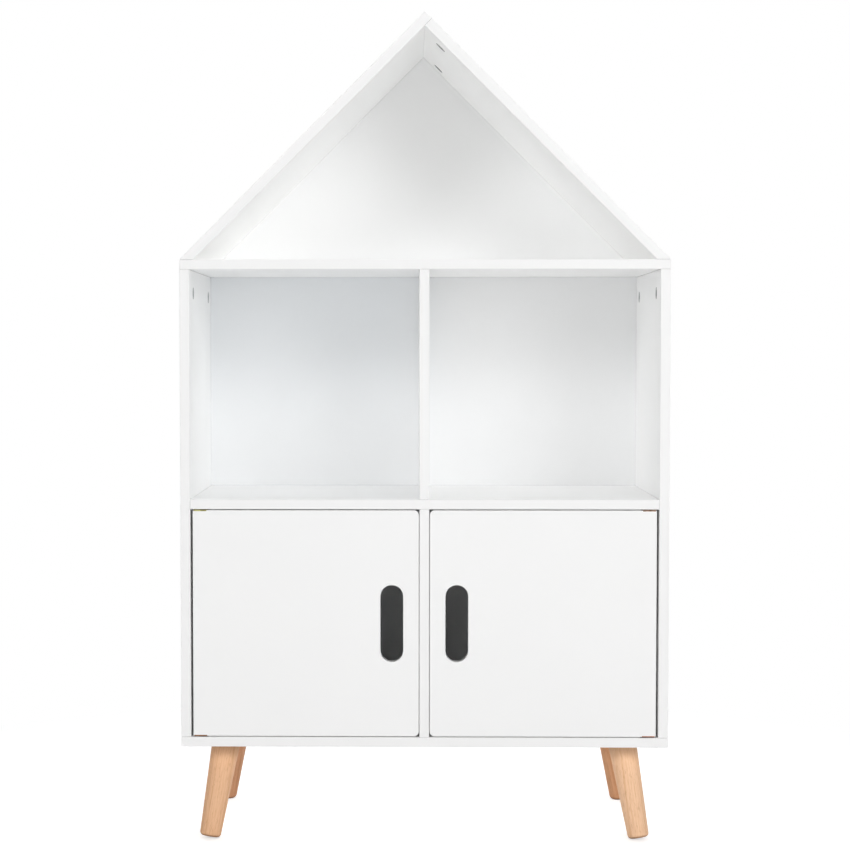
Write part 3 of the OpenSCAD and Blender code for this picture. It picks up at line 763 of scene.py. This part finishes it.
def shaded_brass(colour: Colour, dull: Colour, speck_share: float) -> MetalFinish:
    """Brass gone matt with age, in a colour darkened for its corner as painted shade and tinted for
    that corner.
    """
    return MetalFinish(colour, dull, roughness=0.5, grain_scale=420.0, speck_share=speck_share)


def cast_zinc(colour: Colour, dull: Colour) -> MetalFinish:
    """Dull cast zinc."""
    return MetalFinish(colour, dull, roughness=0.5)


MELAMINE = MelamineFinish()
# Painted shade: the doors are the same melamine painted greyer, to tone down their brightly lit
# fronts.
SHADED_DOOR_MELAMINE = MelamineFinish(white=(0.905, 0.905, 0.902), shade=(0.896, 0.897, 0.895))
# The body's back is painted greyer and cooler than the roof's: painted light and shade, the same
# lacquer at two levels.
BODY_BACK = BackFinish()
ROOF_BACK = BackFinish(
    white=(0.914, 0.917, 0.918), shade=(0.902, 0.906, 0.907), cool_light=(1.0, 1.0, 1.0)
)
LEG_WOOD = TurnedWoodFinish()
DOWEL_WOOD = TurnedWoodFinish(
    early=(0.74, 0.53, 0.33),
    late=(0.64, 0.42, 0.24),
    ring_pitch=2.2 * MM,
    pith_off=20 * MM,
    roughness=0.6,
    shoulder_shade_share=0.0,
)
ZINC = MetalFinish(colour=(0.62, 0.63, 0.64), dull=(0.46, 0.47, 0.48), roughness=0.36)
# The same cast zinc at two levels: the roof cams are painted darker than the side cams, painted
# shade of their bores.
CAM_ZINC_SHADED = {
    "side_cams": cast_zinc((0.48, 0.48, 0.475), (0.32, 0.32, 0.32)),
    "roof_cams": cast_zinc((0.31, 0.31, 0.305), (0.19, 0.19, 0.19)),
}
BRASS = MetalFinish(
    colour=(0.50, 0.38, 0.17),
    dull=(0.20, 0.11, 0.06),
    roughness=0.38,
    grain_scale=420.0,
    speck_share=0.9,
)
# Painted shade: each corner's brass is darkened and tinted for that corner, the bottom left darkest.
HINGE_BRASS_SHADED = {
    "left_top": shaded_brass((0.46, 0.44, 0.19), (0.25, 0.22, 0.09), 0.6),
    "right_top": shaded_brass((0.40, 0.28, 0.22), (0.22, 0.14, 0.10), 0.6),
    "left_bottom": shaded_brass((0.32, 0.17, 0.10), (0.10, 0.05, 0.035), 0.9),
    "right_bottom": shaded_brass((0.44, 0.26, 0.20), (0.24, 0.12, 0.09), 0.8),
}
CATCH_PLASTIC = MouldedFinish((0.84, 0.84, 0.825), (0.81, 0.81, 0.80), 0.45)
FERRITE = MouldedFinish((0.055, 0.054, 0.053), (0.035, 0.035, 0.036), 0.55)


def dress(name: str, material: bpy.types.Material) -> None:
    """Gives a CAD node its finish.

    Args:
        name: The node's name.
        material: The finish.
    """
    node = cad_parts[name]
    node.data.materials.clear()
    node.data.materials.append(material)
    LOG.info("%s: %s", name, material.name)


# ---- sub-assemblies -----------------------------------------------------------------------------


@dataclass
class Case:
    """The boards square to the floor: bottom, sides, deck, shelf and dividers."""

    boards: tuple[str, ...] = (
        "bottom_panel",
        "left_side_panel",
        "right_side_panel",
        "deck_panel",
        "middle_shelf",
        "upper_divider",
        "lower_divider",
    )

    def dress(self) -> None:
        """Gives each board its own melamine, so that the edge bands follow its outline."""
        for board in self.boards:
            dress(board, MELAMINE.material(board, BoardAxes.of_node(board)))


@dataclass
class Roof:
    """The two sloping boards, which meet at the apex with the left one on top."""

    pitch: float = math.radians(45)
    thickness: float = 12 * MM

    def axes(self, hand: Hand) -> BoardAxes:
        """Works out how a roof panel lies.

        Args:
            hand: Which panel.

        Returns:
            The panel's axes.
        """
        low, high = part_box(f"{hand.prefix}_roof_panel")
        up = Vector((-hand.value * math.cos(self.pitch), 0, math.sin(self.pitch)))
        run = (high.z - low.z) / math.sin(self.pitch)
        foot_x = high.x if hand is Hand.RIGHT else low.x
        foot = Vector((foot_x, (low.y + high.y) / 2, low.z))
        inward = Vector((-hand.value * math.sin(self.pitch), 0, -math.cos(self.pitch)))
        middle = foot + up * run / 2 + inward * self.thickness / 2
        return BoardAxes(middle, up, Y_AXIS, run, (high.y - low.y) / 2)

    def dress(self) -> None:
        """Gives both panels their melamine."""
        for hand in Hand:
            name = f"{hand.prefix}_roof_panel"
            dress(name, MELAMINE.material(name, self.axes(hand)))


@dataclass
class Backs:
    """The two thin panels in the grooves, in one lacquer painted to two levels as painted light and
    shade.
    """

    panels: dict[str, BackFinish] = field(
        default_factory=lambda: {"body_back_panel": BODY_BACK, "roof_back_panel": ROOF_BACK}
    )

    def dress(self) -> None:
        """Gives each panel its own painted level of the lacquer."""
        for panel, finish in self.panels.items():
            dress(panel, finish.material(panel))


@dataclass
class Doors:
    """The two inset doors, each with its leaves' screws and its strike plate."""

    zinc_parts: tuple[str, ...] = ("strike_plate", "strike_screw")

    def dress(self, brass: bpy.types.Material, zinc: bpy.types.Material) -> None:
        """Gives the doors and what they carry their finishes, apart from the leaves.

        Args:
            brass: The finish of the leaves' screws.
            zinc: The finish of the strike plates.
        """
        for hand in Hand:
            door = f"{hand.prefix}_door"
            dress(door, SHADED_DOOR_MELAMINE.material(door, BoardAxes.of_node(door)))
            dress(f"{hand.prefix}_leaf_screws", brass)
            for part in self.zinc_parts:
                dress(f"{hand.prefix}_{part}", zinc)


@dataclass
class Legs:
    """The four turned legs, each with its grain along its own lean."""

    lean: float = math.radians(13.2)
    side_inset: float = 52 * MM
    end_inset: float = 46.5 * MM
    blanks: dict[str, Blank] = field(
        default_factory=lambda: {
            "front_left": Blank(3.9, (1.0, 0.985, 0.985)),
            "front_right": Blank(0.4, (1.10, 1.15, 1.21)),
            # The rear legs' tones are painted darker and redder: painted shade under the case.
            "rear_left": Blank(4.1, (0.84, 0.715, 0.675)),
            "rear_right": Blank(5.3, (0.865, 0.745, 0.68)),
        }
    )

    def dress(self) -> None:
        """Gives each leg its own piece of the same wood. A leg leans as much aside as endways."""
        case_low, case_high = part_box("bottom_panel")
        spread = math.sin(self.lean) / math.sqrt(2)
        for place, blank in self.blanks.items():
            side = 1 if "right" in place else -1
            end = 1 if "rear" in place else -1
            top_x = side * (case_high.x - self.side_inset)
            top_y = end * (case_high.y - self.end_inset)
            top = Vector((top_x, top_y, case_low.z))
            axis = Vector((side * spread, end * spread, -math.cos(self.lean)))
            dress(f"{place}_leg", LEG_WOOD.material(f"{place}_leg_wood", top, axis, blank))


@dataclass
class Fittings:
    """The locks, screws, dowels, pivots and catches."""

    zinc_nodes: tuple[str, ...] = (
        "leg_bolts",
        "leg_tee_nuts",
        "side_cam_bolts",
        "roof_cam_bolts",
        "shelf_screws",
        "divider_screws",
        "roof_foot_screws",
        "catch_screws",
    )
    brass_nodes: tuple[str, ...] = (
        "pivot_pins",
        "pivot_plate_screws",
    )
    dowel_grain: dict[str, Vector] = field(
        default_factory=lambda: {
            "side_dowels": Z_AXIS,
            "divider_dowels": Z_AXIS,
            "roof_dowels": Vector((1, 0, -1)).normalized(),
        }
    )
    dowel_blank: Blank = Blank(1.0)

    @staticmethod
    def dress_hinges() -> None:
        """Gives the case plate and the door leaf of each corner the same brass, darkened as painted
        shade, and the plate a painted shadow line along its board.
        """
        for corner, finish in HINGE_BRASS_SHADED.items():
            plate = f"{corner}_pivot_plate"
            low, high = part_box(plate)
            board_z = high.z if "top" in corner else low.z
            dress(plate, finish.material(f"{plate}_brass", board_z))
            dress(f"{corner}_door_leaf", finish.material(f"{corner}_leaf_brass"))

    def dress(self, brass: bpy.types.Material, zinc: bpy.types.Material) -> None:
        """Gives every fitting its finish.

        Args:
            brass: The finish of the pivots.
            zinc: The finish of the bolts and screws.
        """
        for name, cast in CAM_ZINC_SHADED.items():
            dress(name, cast.material(f"{name}_zinc"))
        for name in self.zinc_nodes:
            dress(name, zinc)
        for name in self.brass_nodes:
            dress(name, brass)
        self.dress_hinges()
        for name, grain in self.dowel_grain.items():
            low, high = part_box(name)
            middle = (low + high) / 2
            dress(name, DOWEL_WOOD.material(f"{name}_wood", middle, grain, self.dowel_blank))
        plastic = CATCH_PLASTIC.material("catch_plastic")
        for hand in Hand:
            dress(f"{hand.prefix}_catch_housing", plastic)
        dress("catch_magnets", FERRITE.material("ferrite"))


# ---- studio -------------------------------------------------------------------------------------


@dataclass(frozen=True)
class Lamp:
    """A square soft box. Its level is the radiance of its face."""

    name: str
    place: Vector
    aim: Vector
    size: float
    level: float

    def switch_on(self) -> None:
        """Adds the lamp, which lights the part and doesn't show itself."""
        data = bpy.data.lights.new(self.name, "AREA")
        data.shape = "SQUARE"
        data.size = self.size
        data.energy = self.level * math.pi * self.size**2
        lamp = bpy.data.objects.new(self.name, data)
        lamp.location = self.place
        lamp.rotation_euler = (self.aim - self.place).to_track_quat("-Z", "Y").to_euler()
        lamp.visible_camera = False
        bpy.context.scene.collection.objects.link(lamp)
        LOG.info("lamp %s", self.name)


@dataclass
class Studio:
    """A plain pale floor under soft light, with white all round."""

    white: Colour = (1.0, 1.0, 1.0)
    ambient: float = 0.1
    floor_half: float = 4.0
    floor_fade: Span = (0.45, 0.95)
    floor_white: Colour = (0.86, 0.86, 0.86)
    floor_shade: Colour = (0.84, 0.84, 0.84)
    floor_glow: float = 0.6
    floor_seen: Colour = (0.68, 0.68, 0.68)
    grain_scale: float = 300.0
    grain_share: float = 0.3
    grain_depth: float = 0.02 * MM
    lamps: tuple[Lamp, ...] = (
        Lamp("overhead", Vector((0, 0.5, 3.2)), Vector((0, 0.5, 0)), 2.4, 1.6),
        Lamp("rear_left", Vector((-1.8, 2.6, 1.6)), CENTRE, 1.6, 4.2),
        Lamp("rear_right", Vector((1.8, 2.6, 1.6)), CENTRE, 1.6, 4.0),
        Lamp("front_low", Vector((0, -2.2, 0.30)), CENTRE, 0.5, 1.28),
        Lamp("left_wide", Vector((-2.6, -2.8, 1.2)), CENTRE, 2.0, 0.92),
        Lamp("left_far", Vector((-2.0, -4.0, 1.2)), CENTRE, 1.2, 1.34),
        Lamp("left_high", Vector((-2.0, -3.8, 2.4)), CENTRE, 1.2, 9.26),
        Lamp("right_side", Vector((3.0, -2.4, 1.4)), CENTRE, 0.8, 6.72),
        Lamp("right_far", Vector((2.0, -4.0, 1.2)), CENTRE, 1.2, 6.27),
        Lamp("right_high", Vector((2.0, -3.8, 2.4)), CENTRE, 1.2, 9.11),
        Lamp("right_near", Vector((1.2, -4.2, 2.6)), CENTRE, 0.8, 3.44),
    )

    def hang_backdrop(self) -> None:
        """Makes the world white where it is seen or mirrored, and a faint light elsewhere."""
        world = bpy.data.worlds.new("studio")
        graph = Graph.start(world)
        level = graph.remap(graph.shown(), 0.0, 1.0, self.ambient, 1.0)
        back = graph.node("Background", {"Color": self.white, "Strength": level})
        graph.node("OutputWorld", {"Surface": back.outputs[0]})
        bpy.context.scene.world = world

    def floor_material(self) -> bpy.types.Material:
        """Pale matt floor that runs out into the white all round.

        Returns:
            The material.
        """
        graph = Graph.new("studio_floor")
        here = graph.place()
        grain = graph.noise(here, self.grain_scale, detail=3.0)
        share = graph.remap(grain, *NOISE_SPAN, 0.0, self.grain_share)
        tone = graph.mix(share, self.floor_white, self.floor_shade)
        bump = graph.bump(grain, self.grain_depth)
        paint = graph.node("BsdfDiffuse", {"Color": tone, "Normal": bump})
        glow = graph.node("Emission", {"Color": self.white, "Strength": self.floor_glow})
        seen_paint = graph.node("BsdfDiffuse", {"Color": self.floor_seen})
        near = graph.node("AddShader", {0: seen_paint.outputs[0], 1: glow.outputs[0]})
        far = graph.node("Emission", {"Color": self.white, "Strength": 1.0})
        reach = graph.node("VectorMath", {0: here}, operation="LENGTH").outputs["Value"]
        fade = graph.remap(reach, *self.floor_fade, 0.0, 1.0)
        seen = graph.node("MixShader", {0: fade, 1: near.outputs[0], 2: far.outputs[0]})
        ends = {0: graph.shown(), 1: paint.outputs[0], 2: seen.outputs[0]}
        graph.node("OutputMaterial", {"Surface": graph.node("MixShader", ends).outputs[0]})
        return graph.owner

    def lay_floor(self) -> None:
        """Lays the floor under the legs."""
        half = self.floor_half
        mesh = bpy.data.meshes.new("studio_floor")
        corners = [(-half, -half, 0), (half, -half, 0), (half, half, 0), (-half, half, 0)]
        mesh.from_pydata(corners, [], [(0, 1, 2, 3)])
        mesh.materials.append(self.floor_material())
        floor = bpy.data.objects.new("studio_floor", mesh)
        bpy.context.scene.collection.objects.link(floor)

    def build(self) -> None:
        """Sets up the backdrop, the floor and the lamps."""
        self.hang_backdrop()
        self.lay_floor()
        for lamp in self.lamps:
            lamp.switch_on()


@dataclass(frozen=True)
class Viewpoint:
    """Where the camera stands, for a square picture."""

    place: Vector = Vector((-0.01744, -2.79267, 0.6066))
    yaw: float = math.radians(1.0077)
    pitch: float = math.radians(2.7702)
    roll: float = math.radians(-0.0155)
    lens: float = 91.385
    sensor: float = 36.0
    shift: tuple[float, float] = (0.06201, 0.03729)
    clip: Span = (0.1, 60.0)

    def set_up(self) -> None:
        """Adds the camera and makes it the scene's own."""
        data = bpy.data.cameras.new("camera")
        data.sensor_width = self.sensor
        data.lens = self.lens
        data.shift_x, data.shift_y = self.shift
        data.clip_start, data.clip_end = self.clip
        camera = bpy.data.objects.new("camera", data)
        turn = Matrix.Rotation(self.yaw, 4, "Z")
        tilt = Matrix.Rotation(math.pi / 2 - self.pitch, 4, "X")
        roll = Matrix.Rotation(self.roll, 4, "Z")
        camera.matrix_world = Matrix.Translation(self.place) @ turn @ tilt @ roll
        bpy.context.scene.collection.objects.link(camera)
        bpy.context.scene.camera = camera


def main() -> None:
    """Dresses the bookcase and sets up the studio round it."""
    logging.basicConfig(level=logging.INFO, format="%(name)s: %(message)s")
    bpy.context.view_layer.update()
    scene = bpy.context.scene
    scene.view_settings.view_transform = "Standard"
    scene.cycles.max_bounces = LIGHT_BOUNCES
    scene.cycles.diffuse_bounces = LIGHT_BOUNCES
    Viewpoint().set_up()
    brass, zinc = BRASS.material("brass"), ZINC.material("zinc")
    Case().dress()
    Roof().dress()
    Backs().dress()
    Doors().dress(brass, zinc)
    Legs().dress()
    Fittings().dress(brass, zinc)
    Studio().build()


if __name__ == "__main__":
    main()
